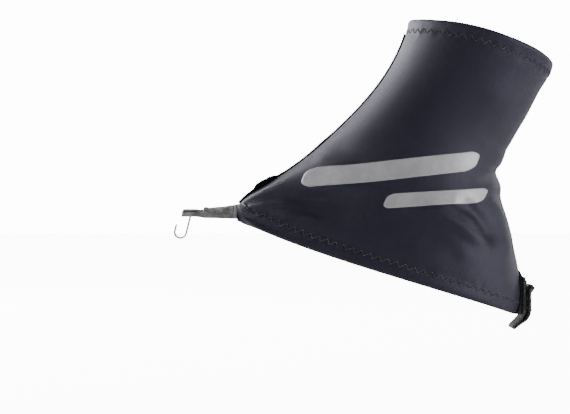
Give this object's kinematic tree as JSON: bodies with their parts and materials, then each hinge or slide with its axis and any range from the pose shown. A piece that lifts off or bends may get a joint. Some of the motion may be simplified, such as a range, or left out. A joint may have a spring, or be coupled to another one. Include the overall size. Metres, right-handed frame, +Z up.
{
  "type": "trail gaiter",
  "caption": "Short stretch-fabric ankle gaiter in its worn shape, with a toe tab, a wire lace hook and a hook-and-loop strap at the heel.",
  "frame": {"origin": "middle of the flat face at the foot of the heel strap, which bears on the heel of the shoe", "axes": "+X from toe to heel, +Y to the wearer's right, +Z up the leg with the sole level"},
  "size_m": [0.2217, 0.0864, 0.1794],
  "materials": {
    "stretch_fabric": "knitted stretch fabric with a low sheen",
    "seam_tape": "narrow woven tape, matt",
    "elastic": "flat braided elastic",
    "thread": "twisted sewing thread",
    "reflective_film": "silver reflective film, satin",
    "coated_fabric": "coated woven fabric, satin",
    "webbing": "woven webbing, matt",
    "loop_pile": "loop pile of a touch fastener",
    "hook_pile": "hook side of a touch fastener",
    "wire": "bright steel wire"
  },
  "bodies": {
    "sleeve": {"side_panel_left": "stretch_fabric", "side_panel_right": "stretch_fabric", "front_seam_tape": "seam_tape", "rear_seam_tape": "seam_tape", "cuff_elastic": "elastic", "hem_elastic": "elastic", "cuff_stitching": "thread", "hem_stitching": "thread", "reflective_bar_upper_left": "reflective_film", "reflective_bar_upper_right": "reflective_film", "reflective_bar_lower_left": "reflective_film", "reflective_bar_lower_right": "reflective_film", "heel_strap": "webbing", "heel_loop_patch": "loop_pile", "heel_strap_stitching": "thread"},
    "toe_tab": {"toe_tab_upper": "coated_fabric", "toe_tab_lining": "coated_fabric", "toe_tab_webbing": "webbing", "toe_tab_stitching": "thread"},
    "lace_hook": {"lace_hook": "wire"},
    "heel_flap": {"heel_flap": "webbing", "heel_hook_patch": "hook_pile", "heel_flap_stitching": "thread"}
  },
  "joints": [
    {"name": "toe_tab_lift", "type": "hinge", "parent": "sleeve", "child": "toe_tab", "pos_m": [-0.1615, 0, 0.0689], "axis": [0, 1, 0], "range_deg": [0, 60]},
    {"name": "lace_hook_swing", "type": "hinge", "parent": "toe_tab", "child": "lace_hook", "pos_m": [-0.18842, 0, 0.06246], "axis": [0, 1, 0], "range_deg": [-40, 15]},
    {"name": "heel_flap_peel", "type": "hinge", "parent": "sleeve", "child": "heel_flap", "pos_m": [-0.00011, 0, -0.00392], "axis": [0, 1, 0], "range_deg": [0, 140]}
  ]
}
